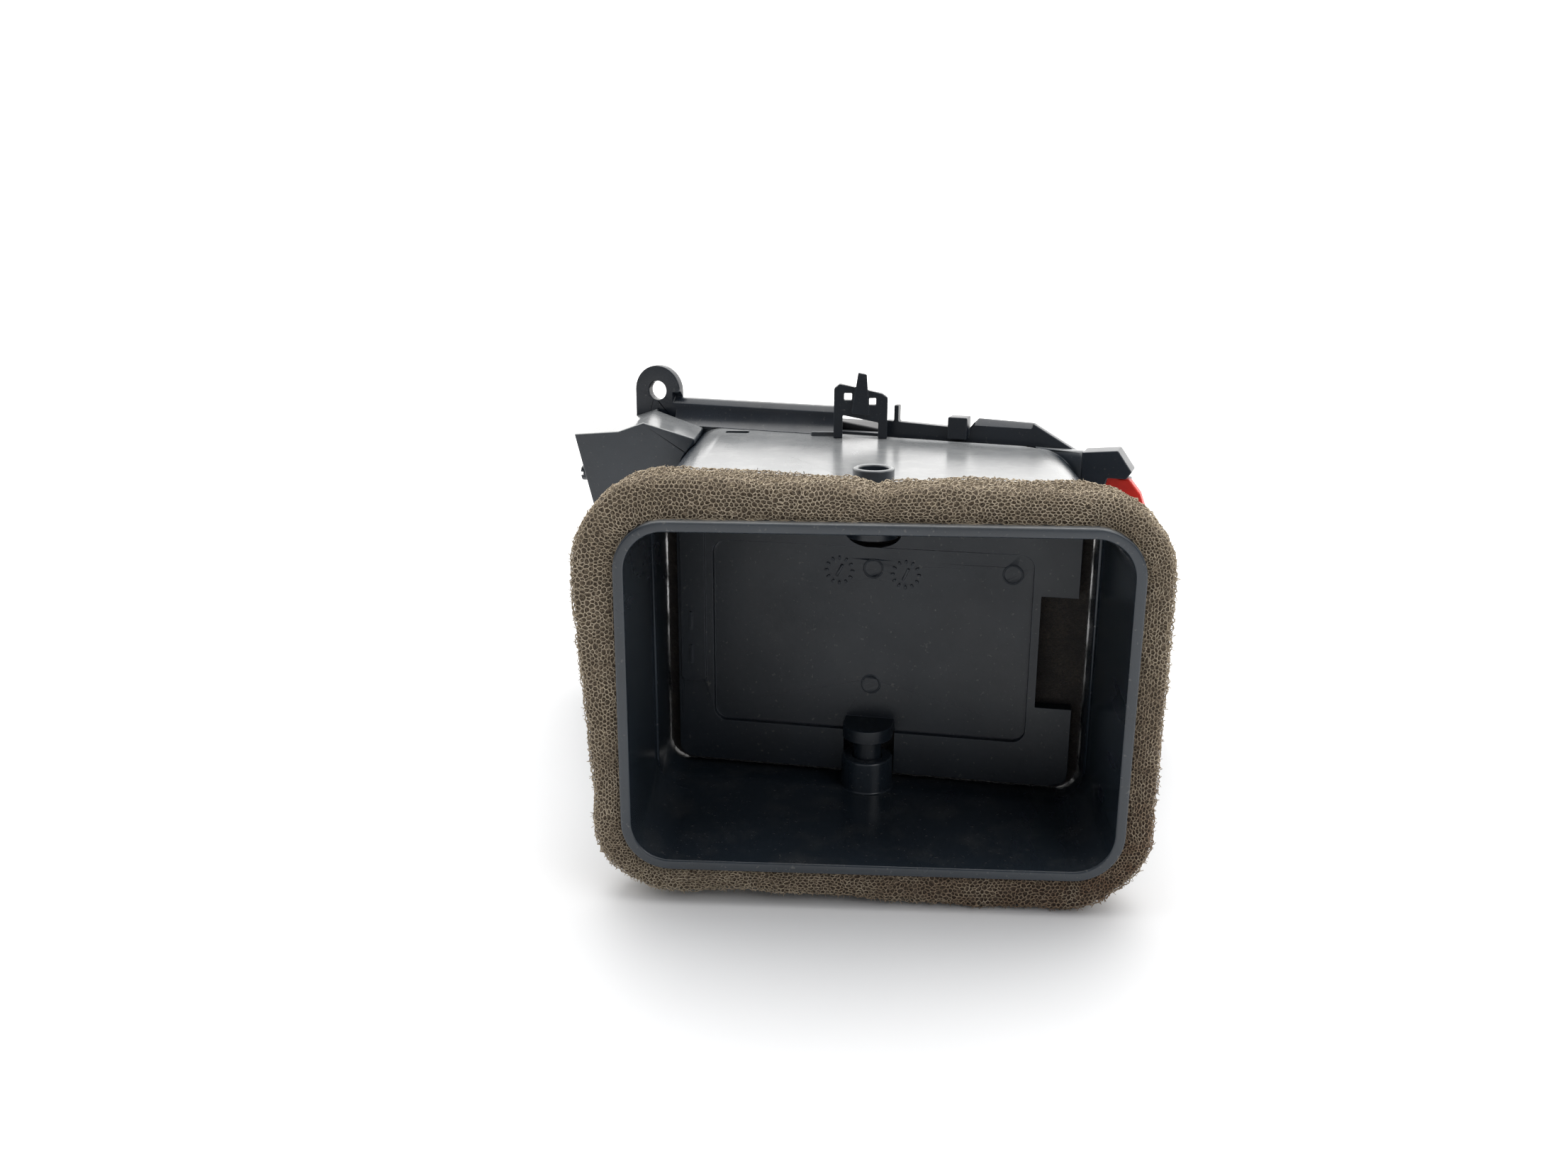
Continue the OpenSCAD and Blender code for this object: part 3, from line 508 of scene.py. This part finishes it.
def foam_surface(u, v, lift):
    """Points of the foam's skin at (u, v), lifted off it by lift."""
    x, z, nx, nz = outline(u)
    thick = np.interp(np.mod(u, AROUND), THICK_AT, THICK, period=AROUND)
    o, y = np.interp(v, SECTION_V, SECTION_O), np.interp(v, SECTION_V, SECTION_Y)
    step = 0.4 * MM
    to = np.interp(v + step, SECTION_V, SECTION_O) - np.interp(v - step, SECTION_V, SECTION_O)
    ty = np.interp(v + step, SECTION_V, SECTION_Y) - np.interp(v - step, SECTION_V, SECTION_Y)
    size = np.maximum(np.hypot(to, ty), 1e-9)
    out_o, out_y = ty / size, -to / size
    crown = 0.5 * MM * np.sin(math.pi * np.clip(v / GIRTH, 0, 1))
    flat = np.stack([x + nx * o, y, z + nz * o], 1)
    bumps = 0.38 * MM * waves(flat, 14 * MM, 3) + 0.16 * MM * waves(flat, 4.5 * MM, 4)
    away = lift + crown + bumps * np.clip(o / (2 * MM), 0, 1)
    o = np.maximum(o * thick / FOAM_T + out_o * away, 0.05 * MM)
    return np.stack([x + nx * o, foam_low.y + y + out_y * away, z + nz * o], 1)


def strut_prisms(starts, ends, radius):
    """Three-sided bars between pairs of points."""
    way = ends - starts
    way /= np.maximum(np.linalg.norm(way, axis=1, keepdims=True), 1e-9)
    helper = np.where(np.abs(way[:, [2]]) < 0.8, [[0.0, 0.0, 1.0]], [[1.0, 0.0, 0.0]])
    side = np.cross(way, helper)
    side /= np.linalg.norm(side, axis=1, keepdims=True)
    other = np.cross(way, side)
    corners = []
    for points in (starts, ends):
        for k in range(3):
            turn = 2 * math.pi * k / 3
            corners.append(points + (side * math.cos(turn) + other * math.sin(turn)) * radius[:, None])
    vertices = np.stack(corners, 1).reshape(-1, 3)
    base = np.arange(len(starts))[:, None] * 6
    faces = np.concatenate([base + np.array([k, (k + 1) % 3, 3 + (k + 1) % 3, 3 + k]) for k in range(3)])
    return vertices, faces


def foam_network(cell):
    """Struts along the borders of irregular cells that cover the skin."""
    rows, columns = int(GIRTH / (cell * 0.87)) + 1, int(AROUND / cell)
    column, row = np.meshgrid(np.arange(columns), np.arange(rows))
    u = (column + 0.5 * (row % 2)) * AROUND / columns + rng.normal(0, 0.24 * cell, column.shape)
    v = row * GIRTH / (rows - 1) + rng.normal(0, 0.22 * cell, column.shape)
    u, v = np.mod(u.ravel(), AROUND), np.clip(v.ravel(), -0.4 * cell, GIRTH + 0.4 * cell)
    kept = (v < BACK_FACE_V) | (rng.random(len(v)) < 0.5)
    u, v = u[kept], v[kept]
    margin = 4 * cell
    again = u < margin
    u, v = np.concatenate([u, u[again] + AROUND]), np.concatenate([v, v[again]])
    scaled = [Vector((a / cell, b / cell)) for a, b in zip(u, v)]
    corners, _, triangles, *_ = delaunay_2d_cdt(scaled, [], [], 0, 1e-6)
    corners = np.array([tuple(c) for c in corners]) * cell
    triangles = np.array([t for t in triangles if len(t) == 3])
    middles = corners[triangles].mean(1)
    border = {}
    links = []
    for index, triangle in enumerate(triangles):
        for a, b in ((0, 1), (1, 2), (2, 0)):
            key = tuple(sorted((int(triangle[a]), int(triangle[b]))))
            if key in border:
                links.append((border[key], index))
            else:
                border[key] = index
    links = np.array(links)
    first, second = middles[links[:, 0]], middles[links[:, 1]]
    low = np.minimum(first[:, 0], second[:, 0])
    span = np.linalg.norm(first - second, axis=1)
    good = (low >= margin / 2) & (low < AROUND + margin / 2) & (span < 3 * cell) & (span > 0.08 * cell)
    links = links[good]
    depth = rng.normal(0, 0.16 * MM, len(middles))
    points = foam_surface(middles[:, 0], middles[:, 1], depth)
    radius = rng.uniform(0.075, 0.13, len(links)) * MM
    return strut_prisms(points[links[:, 0]], points[links[:, 1]], radius)


def foam_whiskers(count):
    """Loose strut ends that stand out of the skin, most of them along its cut edges."""
    u = rng.uniform(0, AROUND, count)
    edges = [0.4 * MM, FRONT_EDGE_V, FRONT_EDGE_V + 1.2 * MM, BACK_FACE_V + 1 * MM]
    edge = rng.choice(edges, count, p=[0.3, 0.3, 0.25, 0.15])
    v = np.clip(edge + rng.normal(0, 0.9 * MM, count), 0, GIRTH)
    starts = foam_surface(u, v, np.full(count, -0.2 * MM))
    tip_u = u + rng.normal(0, 0.5 * MM, count)
    tip_v = np.clip(v + rng.normal(0, 0.5 * MM, count), 0, GIRTH)
    tips = foam_surface(tip_u, tip_v, rng.uniform(0.2, 0.75, count) * MM)
    return strut_prisms(starts, tips, rng.uniform(0.05, 0.09, count) * MM)


FOAM_CELL = 0.93 * MM
WHISKERS = 1700
CORE_DEPTH = 0.36 * MM                           # the core lies this far below the struts


def make_foam():
    columns, rows = 460, 52
    u, v = np.meshgrid(np.arange(columns) * AROUND / columns, np.linspace(0, GIRTH, rows))
    skin = foam_surface(u.ravel(), v.ravel(), np.full(columns * rows, -CORE_DEPTH))
    skin += 0.12 * MM * waves(skin, 1.6 * MM, 8)[:, None] * np.array([0.6, 1.0, 0.6])
    faces = []
    for row in range(rows - 1):
        here, above = row * columns, (row + 1) * columns
        for column in range(columns):
            after = (column + 1) % columns
            faces.append((here + column, here + after, above + after, above + column))
    core_count = len(faces)
    vertices = [skin]
    offset = len(skin)
    for bars, bar_faces in (foam_network(FOAM_CELL), foam_whiskers(WHISKERS)):
        vertices.append(bars)
        faces += [tuple(int(i) for i in face) for face in bar_faces + offset]
        offset += len(bars)
    parts = [0] * core_count + [1] * (len(faces) - core_count)
    finishes = [foam_core_finish(), FINISHES["foam"]]
    piece = add_piece("foam_strip", np.concatenate(vertices).tolist(), faces, finishes, "housing",
                      parts=parts)
    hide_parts("foam_seal")


make_foam()


# ---- felt on the shut-off plate ---------------------------------------------------------------
def fine_copy(node_name, voxel):
    """Points and faces of a CAD node's shape, remeshed to an even grid."""
    holder = bpy.data.objects.new("holder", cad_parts[node_name].data.copy())
    bpy.context.scene.collection.objects.link(holder)
    weld = holder.modifiers.new("weld", "WELD")
    weld.merge_threshold = WELD_GAP
    grid = holder.modifiers.new("grid", "REMESH")
    grid.mode = "VOXEL"
    grid.voxel_size = voxel
    bpy.context.view_layer.update()
    shaped = holder.evaluated_get(bpy.context.evaluated_depsgraph_get())
    mesh = bpy.data.meshes.new_from_object(shaped)
    points = np.zeros(len(mesh.vertices) * 3)
    mesh.vertices.foreach_get("co", points)
    faces = [tuple(p.vertices) for p in mesh.polygons]
    bpy.data.objects.remove(holder)
    return points.reshape(-1, 3), faces


FELT_SPREAD = (0.52 * MM, 0.36 * MM, 0.68 * MM)     # to the left, to the right, up and down
FIBRES = 2600


def make_felt():
    points, faces = fine_copy("valve_felt", 0.62 * MM)
    low, high = points.min(0), points.max(0)
    middle = (low + high) / 2
    out = points - middle
    reach = high - middle
    across, upward = np.abs(out[:, 0]) / reach[0], np.abs(out[:, 2]) / reach[2]
    near_rim = np.clip(np.maximum(across, upward) * 12 - 11, 0, 1)      # 0 inside, 1 at the rim
    fuzz = waves(points, 1.1 * MM, 21) + 0.7 * waves(points, 3.1 * MM, 22)
    way = out / np.linalg.norm(out, axis=1, keepdims=True)
    points = points + way * (fuzz * near_rim * 0.08 * MM)[:, None]
    # the pressed rim spreads out towards the duct's walls
    spread = np.where(out[:, [0]] < 0, FELT_SPREAD[0], FELT_SPREAD[1])
    points[:, [0]] += spread * out[:, [0]] / reach[0]
    points[:, [2]] += FELT_SPREAD[2] * out[:, [2]] / reach[2]
    points[:, 1] += 0.1 * MM * waves(points, 2.3 * MM, 23)
    felt = add_piece("felt_sheet", points.tolist(), faces, [FINISHES["felt"]], "valve")
    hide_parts("valve_felt")
    rim = np.flatnonzero(near_rim > 0.6)
    picked = rng.choice(rim, FIBRES)
    starts = points[picked]
    away = way[picked] + rng.normal(0, 0.45, (len(picked), 3))
    away /= np.linalg.norm(away, axis=1, keepdims=True)
    tips = starts + away * rng.uniform(0.1, 0.28, (len(picked), 1)) * MM
    bars, bar_faces = strut_prisms(starts, tips, rng.uniform(0.02, 0.035, len(picked)) * MM)
    bar_faces = [tuple(int(i) for i in face) for face in bar_faces]
    fringe = add_piece("felt_fringe", bars.tolist(), bar_faces, [FINISHES["felt"]], "valve")


make_felt()


# ---- floor, light and surroundings -----------------------------------------------------------
def make_stage():
    """Pale table whose far edge, a little askew, lies behind the part."""
    wide, near = 1.6, -1.2
    far_left, far_right = 0.229, 0.193
    corners = [(-wide, near, 0), (wide, near, 0), (wide, far_right, 0), (-wide, far_left, 0)]
    mesh = bpy.data.meshes.new("table")
    mesh.from_pydata(corners, [], [(0, 1, 2, 3)])
    table = bpy.data.objects.new("table", mesh)
    bpy.context.scene.collection.objects.link(table)
    f = Finish("table_top", IOR=1.45)
    patch = f.span(f.noise(0.2, 3), 0.3, 0.7)
    f.set("Base Color", f.mix(patch, (0.80, 0.805, 0.81, 1), (0.84, 0.843, 0.846, 1)))
    f.set("Roughness", f.span(f.noise(0.05, 3), 0.3, 0.7, 0.5, 0.6))
    mesh.materials.append(f.material)


def add_light(name, place, target, wide, high, power):
    lamp = bpy.data.lights.new(name, "AREA")
    lamp.shape = "RECTANGLE"
    lamp.size, lamp.size_y = wide, high
    lamp.energy = power
    held = bpy.data.objects.new(name, lamp)
    held.location = place
    held.rotation_euler = (Vector(target) - Vector(place)).to_track_quat("-Z", "Y").to_euler()
    bpy.context.scene.collection.objects.link(held)


FRONT_TONE = (0.25, 0.26, 0.28, 1)
BACK_TONE = (2.0, 1.98, 1.95, 1)


def make_room():
    """A bright room behind the part, and a dimmer side where the camera stands."""
    world = bpy.data.worlds.new("room")
    world.use_nodes = True
    tree = world.node_tree
    where = tree.nodes.new("ShaderNodeTexCoord").outputs["Generated"]
    parts = tree.nodes.new("ShaderNodeSeparateXYZ")
    tree.links.new(where, parts.inputs["Vector"])
    depth = tree.nodes.new("ShaderNodeMapRange")
    for index, number in ((1, -0.35), (2, 0.5), (3, 0.0), (4, 1.0)):
        depth.inputs[index].default_value = number
    tree.links.new(parts.outputs["Y"], depth.inputs[0])
    tint = tree.nodes.new("ShaderNodeMix")
    tint.data_type = "RGBA"
    tint.inputs[6].default_value = FRONT_TONE
    tint.inputs[7].default_value = BACK_TONE
    tree.links.new(depth.outputs[0], tint.inputs["Factor"])
    tree.links.new(tint.outputs[2], tree.nodes["Background"].inputs["Color"])
    tree.nodes["Background"].inputs["Strength"].default_value = 1.0
    bpy.context.scene.world = world


make_stage()
make_room()
add_light("ceiling_panel", (0.05, 0.15, 0.95), (0, 0, 0), 1.1, 1.0, 8.0)
add_light("front_fill", (0.75, -0.85, 0.75), (0, 0, 0.05), 0.8, 0.6, 3.0)
bpy.context.scene.view_settings.view_transform = "Standard"
